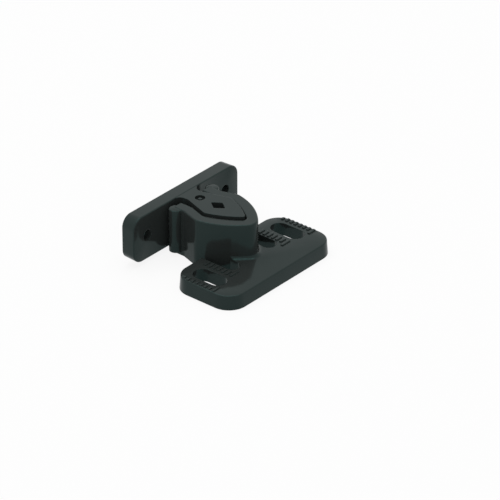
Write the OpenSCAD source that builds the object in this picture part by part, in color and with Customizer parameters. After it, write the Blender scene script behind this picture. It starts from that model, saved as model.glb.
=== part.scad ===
// Knuckle catch: a slotted base plate whose sprung jaw grips the arrowhead tongue of a strike.
// Millimetres. The origin is the centre of the base plate's underside.
// +X runs along the plate, +Y points to the strike and +Z points up.

/* [Base plate] */
// Length of the base plate
plate_l = 50.8; // [46:0.1:70]
// Depth of the base plate, front to back
plate_d = 24.6; // [22:0.1:32]
// Thickness of the base plate
plate_t = 4.8; // [3.5:0.1:7]
// Radius of the base plate's corners
plate_r = 6.5; // [3:0.1:9]
// Draft of the base plate's sides, as the step from bottom to top
plate_draft = 0.35; // [0.1:0.05:0.8]
// Radius that softens the mouldings' top and front edges
edge_r = 0.4; // [0.2:0.05:0.6]

/* [Adjusting slots] */
// Distance between the slots' centre lines
slot_pitch = 37.2; // [36:0.1:40]
// Width of a slot
slot_w = 6; // [4:0.1:7]
// Length of a slot, end to end
slot_len = 12.3; // [8:0.1:16]
// Place of the slots' middle, from the plate's centre towards the strike
slot_y = 2.1; // [-1:0.1:3]
// Depth of the recess under each wing
recess_depth = 0.4; // [0.3:0.1:2]
// Width of the bearing rim round each recess
recess_rim = 1.6; // [1:0.1:3]

/* [Graduations] */
// Distance from one graduation rib to the next
rib_pitch = 1.72; // [1.4:0.02:2]
// Number of ribs in the row on the outer side of a slot
rib_count = 8; // [4:1:9]
// Width of a rib
rib_w = 0.8; // [0.5:0.05:1]
// Height of a rib above the plate
rib_h = 0.35; // [0.15:0.05:0.6]
// Gap between a rib's end and the slot
rib_gap = 1.3; // [0.4:0.1:1.6]
// Gap between a rib's end and the plate's edge or window
rib_margin = 0.5; // [0.2:0.05:0.8]
// How much further towards the jaw the front rib of each row runs
rib_long = 1.4; // [0:0.1:2]

/* [Strike] */
// Length of the strike plate
strike_l = 49.8; // [44:0.1:70]
// Height of the strike plate
strike_h = 15.9; // [12:0.1:24]
// Thickness of the strike plate
strike_t = 4.9; // [3:0.1:8]
// Radius of the strike plate's corners
strike_r = 3.9; // [1:0.1:6]
// Draft of the strike plate's edges, as the step from front to back
strike_draft = 0.18; // [0.05:0.01:0.5]
// Height of the strike's lower edge above the mounting surface
strike_lift = 1.7; // [0.6:0.1:4]
// Distance between the screw holes
screw_pitch = 37; // [30:0.1:40]
// Height of the screw holes above the strike plate's middle
screw_rise = 0.5; // [-2:0.1:2]
// Diameter of a screw hole
screw_d = 3.7; // [3:0.1:6]

/* [Tongue] */
// Reach of the tongue's tip from the face of the strike plate
tongue_reach = 24.2; // [21:0.1:30]
// Width of the tongue across its shoulders
tongue_w = 12.6; // [11:0.1:15]
// Distance of the shoulders from the face of the strike plate
shoulder_reach = 12.8; // [11.5:0.1:15]
// Radius of the shoulders
shoulder_r = 2; // [0.5:0.1:4]
// Width of the tongue's neck
neck_w = 6.6; // [4:0.1:7]
// Length of the neck
neck_len = 3.6; // [3:0.1:5]
// Radius of the fillet between the neck and the strike plate
neck_fillet = 2.5; // [1:0.1:3]
// Bow of the tongue's front flanks
flank_bow = 0.7; // [0:0.05:1]
// Step from the strike plate's edges to the tongue's top and bottom
tongue_step = 0.1; // [0.05:0.05:1]
// Distance of the diamond hole's middle from the face of the strike plate
diamond_reach = 13.05; // [11.5:0.05:15]
// Length of the diamond hole through the tongue
diamond_len = 6.1; // [4:0.1:8]
// Width of the diamond hole
diamond_w = 4.3; // [3:0.1:5]
// Distance of the dimple's middle from the face of the strike plate
dimple_reach = 5.65; // [5:0.05:7]
// Diameter of the round dimple at the neck
dimple_d = 3.3; // [2:0.1:4]
// Diameter of the nub that stands in the dimple
nub_d = 1.2; // [0.8:0.1:1.6]
// Height of the nub above the dimple's floor
nub_h = 0.75; // [0.2:0.05:1]
// Depth of the dimple
dimple_depth = 1; // [0.3:0.1:1.5]

/* [Jaw] */
// Height of the jaw above the mounting surface
jaw_h = 16.75; // [12:0.05:22]
// Place of the tongue's tip in the jaw, from the plate's centre towards the strike
seat_y = 3.6; // [3:0.05:7]
// Gap between the tongue and the jaw
fit_gap = 0.5; // [0.3:0.05:0.8]
// Thickness of the jaw's arms
arm_t = 3.7; // [2.5:0.1:4.5]
// Distance from the tongue's tip to the front of the jaw's nose
nose_t = 4.1; // [3.5:0.1:5]
// Bow of the jaw's front flanks
jaw_bow = 1.15; // [0.8:0.05:1.5]
// Width of the throat between the arms
throat_w = 9.9; // [8:0.1:10.5]
// Reach of the arms past the tongue's shoulders
arm_reach = 10.8; // [8:0.1:11]
// Diameter of the bead at the end of an arm
bead_d = 4.4; // [2.5:0.1:4.8]
// How far a bead stands out from the arm's outer side
bead_out = 2.25; // [0.8:0.05:2.4]
// Step from the top of the arms down to the top of a bead
bead_step = 0.1; // [0.05:0.05:1]
// Clearance between a bead and the mounting surface
bead_lift = 1.7; // [0.8:0.1:3]
// Clearance between the arms and the mounting surface
arm_lift = 0.5; // [0.3:0.1:0.7]
// Radius of the fillet round the foot of the jaw's nose
foot_r = 1.8; // [0.8:0.1:2.5]
// Width of the plate's land that the jaw stands on
land_w = 12.4; // [11:0.1:14]
// Reach of the land from the plate's centre towards the strike
land_reach = 6; // [5:0.1:8]
// Place of the windows' front ends, from the plate's centre towards the strike
window_front = -1; // [-3:0.1:1]
// Room beside the arms for them to spread
spread_room = 0.8; // [0.5:0.1:2]

/* [Hidden] */

plastic = [0.10, 0.10, 0.10];
// Steps round a circle, along a flank, round a corner and over a softened edge
round_fn = 48;
flank_steps = 16;
arc_steps = 6;
edge_steps = 3;
// Radii of the outlines' small corners and of the diamond's corners
soft_r = 0.7;
diamond_r = 0.5;
// A layer for hulls, the overrun of cuts, the overlap of joined solids and the grid of lofted points
slice = 0.01;
through = 1;
lap = 0.2;
grid = 0.001;

strike_top = strike_lift + strike_h;
face_y = seat_y + tongue_reach;
shoulder_y = face_y - shoulder_reach;
neck_y = face_y - neck_len;
arm_end_y = shoulder_y + arm_reach;
arm_x = throat_w / 2 + arm_t;
bead_x = arm_x + bead_out - bead_d / 2;
bead_y = arm_end_y - bead_d / 4;
window_x = tongue_w / 2 + fit_gap + arm_t + spread_room;
window_w = window_x - land_w / 2;
window_y = window_front + window_w / 2;

function unit(v) = v / norm(v);
function snapped(v) = [for (c = v) round(c / grid) * grid];
function flipped(v) = [for (k = [0:len(v) - 1]) k == 0 ? -v[k] : v[k]];
function right_of(v) = [v.y, -v.x];
function turned(v, angle) = [v.x * cos(angle) - v.y * sin(angle), v.x * sin(angle) + v.y * cos(angle)];

// Points from a to b along a shallow bow that stands out to the right of the way from a to b
function bowed(a, b, bow) =
    [for (i = [0:flank_steps])
        let (t = i / flank_steps)
        a + t * (b - a) + 4 * bow * t * (1 - t) * right_of(unit(b - a))];

// Points with a radius each, as corners [x, y, radius]
function corners(points, radii) = [for (i = [0:len(points) - 1]) [points[i].x, points[i].y, radii[i]]];

// A closed outline made from its right half, which starts and ends on the centre line
function mirrored(half) = concat(half, [for (i = [len(half) - 2:-1:1]) flipped(half[i])]);

// The arc that rounds the corner p between its neighbours
function arc(before, p, after, r) =
    let (
        a = unit(before - p),
        b = unit(after - p),
        half = acos(a * b) / 2,
        centre = p + unit(a + b) * r / sin(half),
        start = p + a * r / tan(half) - centre,
        turn = sign(cross(b, a)) * (180 - 2 * half))
    [for (i = [0:arc_steps]) centre + turned(start, turn * i / arc_steps)];

// A closed outline of [x, y, radius] corners as plain points
function rounded(outline) =
    let (n = len(outline), at = [for (c = outline) [c.x, c.y]])
    [for (i = [0:n - 1])
        each outline[i][2] > 0
            ? arc(at[(i + n - 1) % n], at[i], at[(i + 1) % n], outline[i][2])
            : [at[i]]];

// A counterclockwise outline moved outwards by a distance, with its corners kept
function grown(points, distance) =
    let (n = len(points))
    [for (i = [0:n - 1])
        let (
            a = right_of(unit(points[i] - points[(i + n - 1) % n])),
            b = right_of(unit(points[(i + 1) % n] - points[i])))
        points[i] + distance * (a + b) / (1 + a * b)];

// Zeros for the points of a flank between its two ends
smooth = [for (i = [1:flank_steps - 1]) 0];

// The tongue's right half without its roundings, from the tip to the neck
tongue_half = concat(
    bowed([0, seat_y], [tongue_w / 2, shoulder_y], flank_bow),
    [[neck_w / 2, neck_y], [neck_w / 2, face_y], [0, face_y]]);
// The same half with the running gap round it
pocket_half = grown(mirrored(tongue_half), fit_gap);
pocket_shoulder = pocket_half[flank_steps];
pocket_neck = pocket_half[flank_steps + 1];
// Where the pocket's rear flank meets the side of the throat
throat_y = pocket_shoulder.y + (pocket_neck.y - pocket_shoulder.y)
    * (pocket_shoulder.x - throat_w / 2) / (pocket_shoulder.x - pocket_neck.x);

// The jaw's outer right half without its roundings, from the nose to the throat
jaw_half = grown(mirrored(concat(
    bowed([0, seat_y - nose_t + arm_t], [tongue_w / 2 + fit_gap, shoulder_y], jaw_bow),
    [[throat_w / 2, throat_y], [throat_w / 2, arm_end_y], [0, arm_end_y]])), arm_t);

pocket_radii = concat([soft_r + fit_gap], smooth, [shoulder_r + fit_gap]);
jaw_radii = concat([arm_t], smooth, [arm_t, arm_t]);

// The jaw seen from above: round the outside from the nose to an arm's end, and back along the pocket
jaw_points = rounded(mirrored(concat(
    corners([for (i = [0:flank_steps + 1]) jaw_half[i]], jaw_radii),
    [[arm_x, arm_end_y, soft_r], [throat_w / 2, arm_end_y, soft_r], [throat_w / 2, throat_y, shoulder_r]],
    [for (i = [flank_steps:-1:0]) [pocket_half[i].x, pocket_half[i].y, pocket_radii[i]]])));

// The front of the jaw, filled in
nose_end = flank_steps / 2;
nose_points = rounded(mirrored(concat(
    corners([for (i = [0:nose_end]) jaw_half[i]], jaw_radii),
    [[0, jaw_half[nose_end].y, 0]])));

// The space between the arms, filled in, with a lap under the jaw's walls
pocket_points = grown(rounded(mirrored(concat(
    corners([for (i = [0:flank_steps]) pocket_half[i]], pocket_radii),
    [[throat_w / 2, throat_y, 0], [throat_w / 2, face_y, 0], [0, face_y, 0]]))), lap);

// The tongue seen from above, with the fillets at its root, which end inside the strike plate
root_x = neck_w / 2 + neck_fillet + soft_r;
tongue_points = rounded(mirrored(concat(
    corners([for (i = [0:flank_steps]) tongue_half[i]], concat([soft_r], smooth, [shoulder_r])),
    [[neck_w / 2, neck_y, shoulder_r], [neck_w / 2, face_y + lap, neck_fillet],
        [root_x, face_y + lap, 0], [root_x, face_y + strike_t / 2, 0], [0, face_y + strike_t / 2, 0]])));

// A solid through copies of an outline, each given as [growth, height], from the lowest to the highest
module loft(points, levels) {
    n = len(points);
    top = len(levels) - 1;
    polyhedron(
        [for (level = levels) each [for (p = grown(points, level[0])) snapped([p.x, p.y, level[1]])]],
        concat(
            [[for (i = [0:n - 1]) i]],
            [for (k = [0:top - 1], i = [0:n - 1])
                let (j = (i + 1) % n)
                [k * n + i, k * n + n + i, k * n + n + j, k * n + j]],
            [[for (i = [n - 1:-1:0]) top * n + i]]));
}

// The softened edge of a block of a height, as [growth, height] from the side to the top
function soft_edge(height) =
    [for (i = [0:edge_steps])
        let (a = 90 * i / edge_steps)
        [edge_r * (cos(a) - 1), height + edge_r * (sin(a) - 1)]];

// The jaw's block with a softened top edge, cut away below for the arms' clearance
module jaw() {
    difference() {
        loft(jaw_points, concat([[0, 0]], soft_edge(jaw_h)));
        translate([-plate_l / 2, -plate_d / 2, -through])
            cube([plate_l, plate_d + tongue_reach, through + arm_lift]);
    }
}

module both_sides() {
    children();
    mirror([1, 0, 0]) children();
}

// The round column at the end of an arm
module bead() {
    height = jaw_h - bead_step - bead_lift;
    translate([bead_x, bead_y, bead_lift]) rotate_extrude($fn = round_fn) polygon(concat(
        [[0, 0], [bead_d / 2, 0]],
        [for (level = soft_edge(height)) [bead_d / 2 + level[0], level[1]]],
        [[0, height]]));
}

// The fillet between the plate and the nose of the jaw, sunk a little into both
module foot() {
    loft(nose_points, concat(
        [[foot_r - lap, plate_t - lap]],
        [for (i = [0:edge_steps])
            let (a = 90 * i / edge_steps)
            [foot_r * (1 - sin(a)) - lap, plate_t - lap / 4 + foot_r * (1 - cos(a))]]));
}

// The openings in the plate that let the arms spread, open towards the strike
module window_outline() {
    both_sides() {
        translate([window_x - window_w / 2, window_y]) {
            circle(d = window_w, $fn = round_fn);
            translate([-window_w / 2, 0]) square([window_w, plate_d]);
        }
    }
    translate([-window_x + window_w / 2, land_reach]) square([2 * window_x - window_w, plate_d]);
    polygon(pocket_points);
}

module plate_outline(inset) {
    offset(r = plate_r - inset, $fn = round_fn)
        square([plate_l - 2 * plate_r, plate_d - 2 * plate_r], center = true);
}

// The plate's block, wider at the foot than at the top
module plate_block() {
    hull() {
        linear_extrude(slice) plate_outline(0);
        for (level = soft_edge(plate_t - slice))
            translate([0, 0, level[1]]) linear_extrude(slice) plate_outline(plate_draft - level[0]);
    }
}

module slot(height) {
    reach = slot_len / 2 - slot_w / 2;
    translate([slot_pitch / 2, slot_y, 0]) {
        for (end = [-1, 1]) translate([0, end * reach, 0]) cylinder(d = slot_w, h = height, $fn = round_fn);
        translate([-slot_w / 2, -reach, 0]) cube([slot_w, 2 * reach, height]);
    }
}

// The shallow recess under a wing, inside its bearing rim
module wing_recess() {
    linear_extrude(recess_depth + through) offset(delta = -recess_rim) intersection() {
        plate_outline(0);
        translate([window_x, -plate_d / 2]) square([plate_l / 2, plate_d]);
    }
}

// One row of ribs from one place along the plate to another; its front rib starts nearer to the jaw
module rib_row(from_x, to_x, first) {
    for (i = [first:rib_count - 1]) {
        start_x = from_x - (i == first ? rib_long : 0);
        translate([start_x, slot_y - slot_len / 2 + i * rib_pitch - rib_w / 2])
            square([to_x - start_x, rib_w]);
    }
}

// Graduation ribs on both sides of a slot, kept clear of the window, the slot and the plate's edge
module graduations() {
    slot_side = slot_w / 2 + rib_gap;
    translate([0, 0, plate_t - rib_h]) linear_extrude(2 * rib_h) intersection() {
        offset(delta = -rib_margin) plate_outline(plate_draft);
        union() {
            rib_row(window_x + rib_margin, slot_pitch / 2 - slot_side, 1);
            rib_row(slot_pitch / 2 + slot_side, plate_l / 2, 0);
        }
    }
}

module catch_body() {
    color(plastic) {
        difference() {
            union() {
                plate_block();
                foot();
            }
            translate([0, 0, -through]) {
                both_sides() slot(plate_t + 2 * through);
                linear_extrude(plate_t + foot_r + 2 * through) window_outline();
                both_sides() wing_recess();
            }
        }
        both_sides() graduations();
        jaw();
        both_sides() bead();
    }
}

module strike_outline(inset) {
    offset(r = strike_r - inset, $fn = round_fn)
        square([strike_l - 2 * strike_r, strike_h - 2 * strike_r], center = true);
}

// The strike's plate, seen from its front, with rounded corners, a softened front and drafted edges
module strike_plate() {
    translate([0, face_y + strike_t, strike_lift + strike_h / 2]) rotate([90, 0, 0]) hull() {
        linear_extrude(slice) strike_outline(strike_draft);
        for (level = soft_edge(strike_t - slice))
            translate([0, 0, level[1]]) linear_extrude(slice) strike_outline(-level[0]);
    }
}

// The tongue, a little lower than the strike plate at its top and bottom
module tongue() {
    translate([0, 0, strike_lift + tongue_step]) linear_extrude(strike_h - 2 * tongue_step)
        polygon(tongue_points);
}

module diamond_hole() {
    translate([0, face_y - diamond_reach, strike_lift - through]) linear_extrude(strike_h + 2 * through)
        polygon(rounded([
            [diamond_w / 2, 0, diamond_r], [0, diamond_len / 2, diamond_r],
            [-diamond_w / 2, 0, diamond_r], [0, -diamond_len / 2, diamond_r]]));
}

module dimple() {
    translate([0, face_y - dimple_reach, strike_top - tongue_step - dimple_depth]) difference() {
        cylinder(d = dimple_d, h = dimple_depth + through, $fn = round_fn);
        cylinder(d = nub_d, h = nub_h, $fn = round_fn);
    }
}

module strike() {
    color(plastic) difference() {
        union() {
            strike_plate();
            tongue();
        }
        diamond_hole();
        dimple();
        both_sides() translate([screw_pitch / 2, face_y - through, strike_lift + strike_h / 2 + screw_rise])
            rotate([-90, 0, 0]) cylinder(d = screw_d, h = strike_t + 2 * through, $fn = round_fn);
    }
}

catch_body();
strike();
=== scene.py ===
"""Dresses the knuckle catch: satin black moulded plastic on a pale studio floor."""

import math

import bpy
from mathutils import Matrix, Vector

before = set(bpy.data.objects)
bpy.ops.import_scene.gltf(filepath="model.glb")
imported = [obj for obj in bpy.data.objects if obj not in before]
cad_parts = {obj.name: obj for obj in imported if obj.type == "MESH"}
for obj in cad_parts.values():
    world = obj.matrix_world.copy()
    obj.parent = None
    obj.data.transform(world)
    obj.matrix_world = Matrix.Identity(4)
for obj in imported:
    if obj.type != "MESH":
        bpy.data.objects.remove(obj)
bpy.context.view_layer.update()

MM = 0.001

# The photograph's camera: a long lens that looks down on the catch from its front left corner
CAMERA_AIM = Vector((1.35, 2.87, 5.30)) * MM
CAMERA_AZIMUTH = math.radians(-49.76)
CAMERA_ELEVATION = math.radians(30.40)
CAMERA_DISTANCE = 1244.2 * MM
CAMERA_LENS = 288.0
CAMERA_SENSOR = 36.0
CAMERA_NEAR = 0.01
CAMERA_FAR = 10.0

# Studio: floor and sky show white to the camera and in gloss, and light the part at a plain level
FLOOR_SIZE = 6.0
FLOOR_COLOUR = (0.80, 0.80, 0.80, 1)
FLOOR_WHITE_SHARE = 0.88
WORLD_COLOUR = (1.0, 1.0, 1.0, 1)
WORLD_FILL = 0.60
WORLD_SEEN = 1.0
SOFTBOX_PLACE = (0.0, 0.15, 1.3)
SOFTBOX_SIZE = 1.4
SOFTBOX_POWER = 12.0

# Plastic: its two tones and its gloss, then the lengths of its grain, clouds and softened edges
PLASTIC_DARK = (0.0212, 0.0248, 0.0239, 1)
PLASTIC_LIGHT = (0.0258, 0.0302, 0.0291, 1)
PLASTIC_ROUGHNESS = (0.09, 0.13)
PLASTIC_SPECULAR = 0.13
PLASTIC_GLOSS_TINT = (0.35, 1.0, 0.95, 1)
GRAIN_SIZE = 0.25 * MM
GRAIN_DEPTH = 0.0015 * MM
GRAIN_DETAIL = 2
CLOUD_SIZE = 9.0 * MM
CLOUD_DETAIL = 4
EDGE_RADIUS = 0.20 * MM
EDGE_SAMPLES = 6

# Facets that meet at less than the crease angle are shaded as one surface
WELD_DISTANCE = 0.002 * MM
CREASE_ANGLE = math.radians(32)

# The jaw's level top, and how far below it a face still counts as part of it
JAW_TOP = 16.75 * MM
TOP_SLACK = 0.001 * MM

# An edge with fewer faces than this lies on an open rim
RIM_FACES = 1.5


def seen_share(nodes, links):
    """A socket that is 1 on rays that show the background: from the camera, in gloss and through glass."""
    path = nodes.new("ShaderNodeLightPath")
    total = path.outputs["Is Camera Ray"]
    for name in ("Is Glossy Ray", "Is Transmission Ray"):
        larger = nodes.new("ShaderNodeMath")
        larger.operation = "MAXIMUM"
        links.new(total, larger.inputs[0])
        links.new(path.outputs[name], larger.inputs[1])
        total = larger.outputs[0]
    return total


def new_material(name):
    """A material with an empty node tree."""
    material = bpy.data.materials.new(name)
    material.use_nodes = True
    material.node_tree.nodes.clear()
    return material, material.node_tree.nodes, material.node_tree.links


def noise(nodes, links, coordinates, size, detail):
    """A noise whose spots are about as large as the size."""
    texture = nodes.new("ShaderNodeTexNoise")
    texture.inputs["Scale"].default_value = 1 / size
    texture.inputs["Detail"].default_value = detail
    links.new(coordinates, texture.inputs["Vector"])
    return texture.outputs["Fac"]


def moulded_plastic(name):
    """Black plastic with softened edges, a fine moulded grain and soft clouds in its tone and gloss."""
    material, nodes, links = new_material(name)
    coordinates = nodes.new("ShaderNodeTexCoord").outputs["Object"]
    clouds = noise(nodes, links, coordinates, CLOUD_SIZE, CLOUD_DETAIL)
    grain = noise(nodes, links, coordinates, GRAIN_SIZE, GRAIN_DETAIL)

    tone = nodes.new("ShaderNodeValToRGB")
    tone.color_ramp.elements[0].color = PLASTIC_DARK
    tone.color_ramp.elements[1].color = PLASTIC_LIGHT
    links.new(clouds, tone.inputs["Fac"])

    gloss = nodes.new("ShaderNodeMapRange")
    gloss.inputs["To Min"].default_value = PLASTIC_ROUGHNESS[0]
    gloss.inputs["To Max"].default_value = PLASTIC_ROUGHNESS[1]
    links.new(clouds, gloss.inputs["Value"])

    edges = nodes.new("ShaderNodeBevel")
    edges.samples = EDGE_SAMPLES
    edges.inputs["Radius"].default_value = EDGE_RADIUS
    bump = nodes.new("ShaderNodeBump")
    bump.inputs["Distance"].default_value = GRAIN_DEPTH
    links.new(grain, bump.inputs["Height"])
    links.new(edges.outputs["Normal"], bump.inputs["Normal"])

    shader = nodes.new("ShaderNodeBsdfPrincipled")
    shader.inputs["Specular IOR Level"].default_value = PLASTIC_SPECULAR
    shader.inputs["Specular Tint"].default_value = PLASTIC_GLOSS_TINT
    links.new(tone.outputs["Color"], shader.inputs["Base Color"])
    links.new(gloss.outputs["Result"], shader.inputs["Roughness"])
    links.new(bump.outputs["Normal"], shader.inputs["Normal"])
    output = nodes.new("ShaderNodeOutputMaterial")
    links.new(shader.outputs["BSDF"], output.inputs["Surface"])
    return material


def above(nodes, links, height):
    """A field that is true on what lies above a height."""
    place = nodes.new("ShaderNodeSeparateXYZ")
    links.new(nodes.new("GeometryNodeInputPosition").outputs["Position"], place.inputs["Vector"])
    higher = nodes.new("FunctionNodeCompare")
    higher.operation = "GREATER_THAN"
    higher.inputs["B"].default_value = height
    links.new(place.outputs["Z"], higher.inputs["A"])
    return higher.outputs["Result"]


def filled_top(nodes, links, solid, top):
    """Takes out a level top whose triangles lap over each other, and fills its outline anew."""
    opened = nodes.new("GeometryNodeDeleteGeometry")
    opened.domain = "FACE"
    links.new(solid, opened.inputs["Geometry"])
    links.new(above(nodes, links, top - TOP_SLACK), opened.inputs["Selection"])
    rim = nodes.new("FunctionNodeCompare")
    rim.operation = "LESS_THAN"
    rim.inputs["B"].default_value = RIM_FACES
    neighbours = nodes.new("GeometryNodeInputMeshEdgeNeighbors")
    links.new(neighbours.outputs["Face Count"], rim.inputs["A"])
    outline = nodes.new("GeometryNodeMeshToCurve")
    links.new(opened.outputs["Geometry"], outline.inputs["Mesh"])
    links.new(rim.outputs["Result"], outline.inputs["Selection"])
    fill = nodes.new("GeometryNodeFillCurve")
    links.new(outline.outputs["Curve"], fill.inputs["Curve"])
    lift = nodes.new("GeometryNodeSetPosition")
    lift.inputs["Offset"].default_value = (0, 0, top)
    links.new(fill.outputs["Mesh"], lift.inputs["Geometry"])
    joined = nodes.new("GeometryNodeJoinGeometry")
    links.new(opened.outputs["Geometry"], joined.inputs["Geometry"])
    links.new(lift.outputs["Geometry"], joined.inputs["Geometry"])
    weld = nodes.new("GeometryNodeMergeByDistance")
    weld.inputs["Distance"].default_value = WELD_DISTANCE
    links.new(joined.outputs["Geometry"], weld.inputs["Geometry"])
    return weld.outputs["Geometry"]


def shade(nodes, links, solid, domain, smooth, selection=None):
    """Shades the selected faces or edges smooth or sharp."""
    step = nodes.new("GeometryNodeSetShadeSmooth")
    step.domain = domain
    step.inputs["Shade Smooth"].default_value = smooth
    links.new(solid, step.inputs["Geometry"])
    if selection is not None:
        links.new(selection, step.inputs["Selection"])
    return step.outputs["Geometry"]


def smooth_shading(name, material, top=None):
    """A node group that joins a solid's facets, mends its top and shades it smooth up to a crease angle."""
    group = bpy.data.node_groups.new(name, "GeometryNodeTree")
    group.interface.new_socket("Geometry", in_out="INPUT", socket_type="NodeSocketGeometry")
    group.interface.new_socket("Geometry", in_out="OUTPUT", socket_type="NodeSocketGeometry")
    nodes, links = group.nodes, group.links
    weld = nodes.new("GeometryNodeMergeByDistance")
    weld.inputs["Distance"].default_value = WELD_DISTANCE
    links.new(nodes.new("NodeGroupInput").outputs["Geometry"], weld.inputs["Geometry"])
    solid = weld.outputs["Geometry"]
    if top is not None:
        solid = filled_top(nodes, links, solid, top)
    coat = nodes.new("GeometryNodeSetMaterial")
    coat.inputs["Material"].default_value = material
    links.new(solid, coat.inputs["Geometry"])
    solid = shade(nodes, links, coat.outputs["Geometry"], "FACE", True)
    if top is not None:
        solid = shade(nodes, links, solid, "FACE", False, above(nodes, links, top - TOP_SLACK))
    crease = nodes.new("FunctionNodeCompare")
    crease.operation = "GREATER_THAN"
    crease.inputs["B"].default_value = CREASE_ANGLE
    angle = nodes.new("GeometryNodeInputMeshEdgeAngle")
    links.new(angle.outputs["Unsigned Angle"], crease.inputs["A"])
    solid = shade(nodes, links, solid, "EDGE", False, crease.outputs["Result"])
    links.new(solid, nodes.new("NodeGroupOutput").inputs["Geometry"])
    return group


def studio_floor():
    """A pale floor that shows nearly white and keeps the part's shadow."""
    bpy.ops.mesh.primitive_plane_add(size=FLOOR_SIZE)
    floor = bpy.context.object
    floor.name = "studio_floor"
    material, nodes, links = new_material("pale_floor")
    diffuse = nodes.new("ShaderNodeBsdfDiffuse")
    diffuse.inputs["Color"].default_value = FLOOR_COLOUR
    white = nodes.new("ShaderNodeEmission")
    share = nodes.new("ShaderNodeMath")
    share.operation = "MULTIPLY"
    share.inputs[1].default_value = FLOOR_WHITE_SHARE
    links.new(seen_share(nodes, links), share.inputs[0])
    mix = nodes.new("ShaderNodeMixShader")
    links.new(share.outputs[0], mix.inputs["Fac"])
    links.new(diffuse.outputs[0], mix.inputs[1])
    links.new(white.outputs[0], mix.inputs[2])
    output = nodes.new("ShaderNodeOutputMaterial")
    links.new(mix.outputs[0], output.inputs["Surface"])
    floor.data.materials.append(material)


def studio_world():
    """A white sky that lights the part at the fill level."""
    world = bpy.data.worlds.new("studio")
    bpy.context.scene.world = world
    world.use_nodes = True
    nodes, links = world.node_tree.nodes, world.node_tree.links
    nodes.clear()
    strength = nodes.new("ShaderNodeMapRange")
    strength.inputs["To Min"].default_value = WORLD_FILL
    strength.inputs["To Max"].default_value = WORLD_SEEN
    links.new(seen_share(nodes, links), strength.inputs["Value"])
    background = nodes.new("ShaderNodeBackground")
    background.inputs["Color"].default_value = WORLD_COLOUR
    links.new(strength.outputs["Result"], background.inputs["Strength"])
    output = nodes.new("ShaderNodeOutputWorld")
    links.new(background.outputs[0], output.inputs["Surface"])


def softbox(name, place, size, power):
    """A square area lamp that faces the origin."""
    light = bpy.data.lights.new(name, "AREA")
    light.shape = "SQUARE"
    light.size = size
    light.energy = power
    lamp = bpy.data.objects.new(name, light)
    lamp.location = place
    lamp.rotation_euler = (-Vector(place)).to_track_quat("-Z", "Y").to_euler()
    bpy.context.scene.collection.objects.link(lamp)


def photo_camera():
    """The camera at the photograph's angle."""
    back = Vector((
        math.sin(CAMERA_AZIMUTH) * math.cos(CAMERA_ELEVATION),
        -math.cos(CAMERA_AZIMUTH) * math.cos(CAMERA_ELEVATION),
        math.sin(CAMERA_ELEVATION),
    ))
    data = bpy.data.cameras.new("photo_camera")
    data.lens = CAMERA_LENS
    data.sensor_width = CAMERA_SENSOR
    data.clip_start = CAMERA_NEAR
    data.clip_end = CAMERA_FAR
    camera = bpy.data.objects.new("photo_camera", data)
    camera.location = CAMERA_AIM + back * CAMERA_DISTANCE
    camera.rotation_euler = (-back).to_track_quat("-Z", "Y").to_euler()
    bpy.context.scene.collection.objects.link(camera)
    bpy.context.scene.camera = camera


def dress(node, material, shading):
    """Gives a node its material and its shading."""
    node.data.materials.clear()
    node.data.materials.append(material)
    modifier = node.modifiers.new("smooth_shading", "NODES")
    modifier.node_group = shading


photo_camera()
studio_floor()
studio_world()
softbox("overhead_softbox", SOFTBOX_PLACE, SOFTBOX_SIZE, SOFTBOX_POWER)
plastic = moulded_plastic("black_plastic")
shading = {
    "catch_body": smooth_shading("jaw_shading", plastic, JAW_TOP),
    "strike": smooth_shading("strike_shading", plastic),
}
for name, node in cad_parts.items():
    dress(node, plastic, shading[name])

bpy.context.scene.view_settings.view_transform = "Standard"
